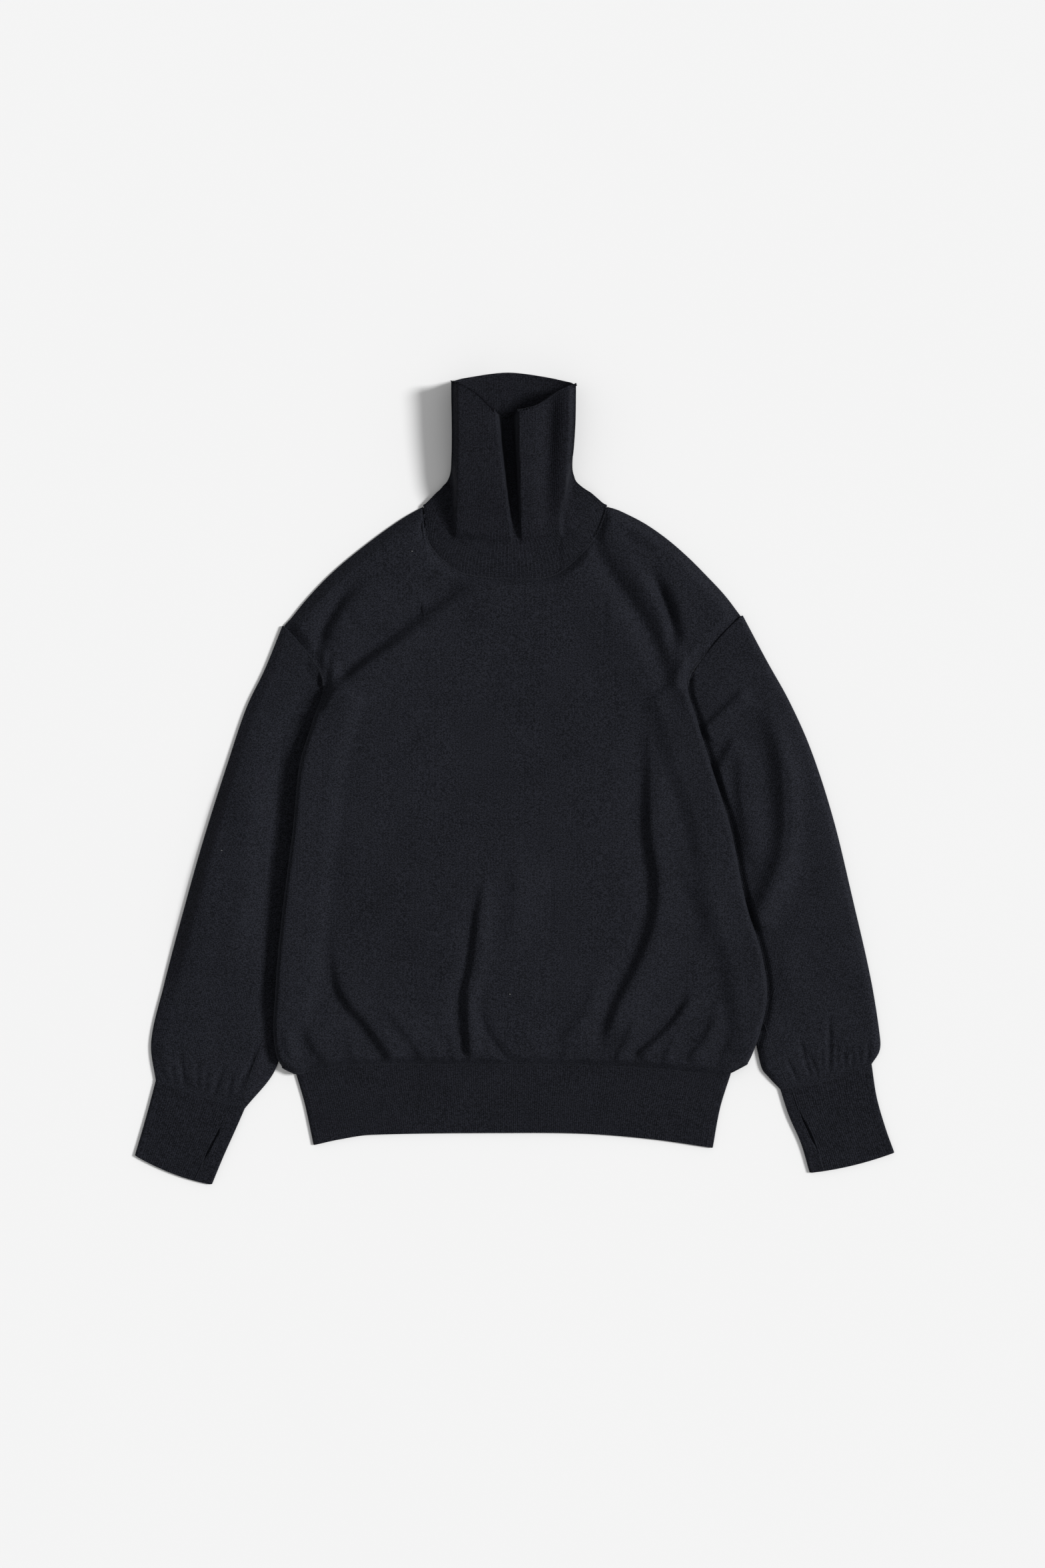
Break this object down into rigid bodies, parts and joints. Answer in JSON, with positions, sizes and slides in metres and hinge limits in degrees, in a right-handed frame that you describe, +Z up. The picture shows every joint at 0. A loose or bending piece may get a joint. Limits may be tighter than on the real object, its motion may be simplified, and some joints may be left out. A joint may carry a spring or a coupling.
{
  "type": "turtleneck sweater",
  "caption": "Dark fine-knit turtleneck sweater laid flat, with dropped shoulders, ribbed collar, cuffs with thumb slits and hem band.",
  "frame": {"origin": "centre of the bounding box's underside, on the surface that the sweater lies on", "axes": "+X to the right as seen from above, +Y towards the collar, +Z up from the surface"},
  "size_m": [0.802, 0.8575, 0.0375],
  "materials": {
    "knit": "fine plain knit, soft, matt, slightly mottled navy black",
    "rib": "fine one by one rib, soft, matt, navy black"
  },
  "bodies": {
    "root": {"front": "knit", "back": "knit", "sleeve_left": "knit", "sleeve_right": "knit", "cuff_left": "rib", "cuff_right": "rib", "hem_band": "rib", "collar": "rib"}
  },
  "joints": []
}
